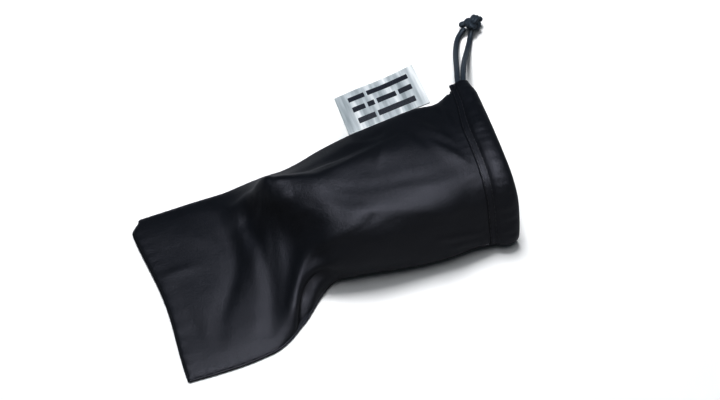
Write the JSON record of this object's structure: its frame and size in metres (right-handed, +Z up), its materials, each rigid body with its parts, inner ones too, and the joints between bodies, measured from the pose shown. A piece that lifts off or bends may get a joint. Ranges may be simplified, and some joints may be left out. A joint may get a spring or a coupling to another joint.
{
  "type": "soft drawstring glasses pouch",
  "caption": "Soft microfibre pouch for glasses, with a drawcord in a stitched tunnel round the mouth, a shared cord knot and a folded satin care label in the side seam",
  "frame": {"origin": "middle of the pouch's length and width, on the surface that it lies on", "axes": "+X along the pouch from the closed end to the mouth, +Y to the side seam with the label and the cord, +Z up"},
  "size_m": [0.2076, 0.1591, 0.043],
  "materials": {
    "cloth": "fine knitted microfibre, blue-black, matt with a soft sheen",
    "thread": "black polyester sewing thread",
    "cord": "tightly braided black polyester cord",
    "label_satin": "silver-white satin ribbon",
    "label_ink": "dark printed ink, matt"
  },
  "bodies": {
    "pouch": {"front_panel": "cloth", "back_panel": "cloth", "bottom_seam": "cloth", "side_seam_near": "cloth", "side_seam_far": "cloth", "tunnel_front": "cloth", "tunnel_back": "cloth", "tunnel_stitching_front": "thread", "tunnel_stitching_back": "thread", "exit_bartack": "thread", "drawcord_loop": "cord"},
    "mouth_side": {"tunnel_corner": "cloth"},
    "cord_tails": {"drawcord_tail_a": "cord", "drawcord_tail_b": "cord"},
    "cord_knot": {"drawcord_knot": "cord", "drawcord_ends": "cord"},
    "label": {"care_label": "label_satin", "label_print": "label_ink"}
  },
  "joints": [
    {"name": "drawcord_swing", "type": "hinge", "parent": "pouch", "child": "cord_tails", "pos_m": [0.0816, 0.03895, 0.031], "axis": [0.8976, -0.4408, 0], "range_deg": [0, 100]},
    {"name": "drawcord_pull", "type": "slide", "parent": "cord_tails", "child": "cord_knot", "axis": [0.4408, 0.8976, 0], "range_m": [0, 0.035], "deforming": ["drawcord_tail_a", "drawcord_tail_b"]},
    {"name": "mouth_close", "type": "slide", "parent": "pouch", "child": "mouth_side", "axis": [0, 1, 0], "range_m": [0, 0.035], "deforming": ["front_panel", "back_panel", "side_seam_near", "tunnel_front", "tunnel_back", "tunnel_stitching_front", "tunnel_stitching_back", "drawcord_loop"]},
    {"name": "label_flap", "type": "hinge", "parent": "pouch", "child": "label", "pos_m": [0.04256, 0.03304, 0.03058], "axis": [0.9893, 0, 0.1459], "range_deg": [-55, 140]}
  ],
  "couplings": [
    {"joint": "mouth_close", "follows": "drawcord_pull", "ratio": 1}
  ]
}
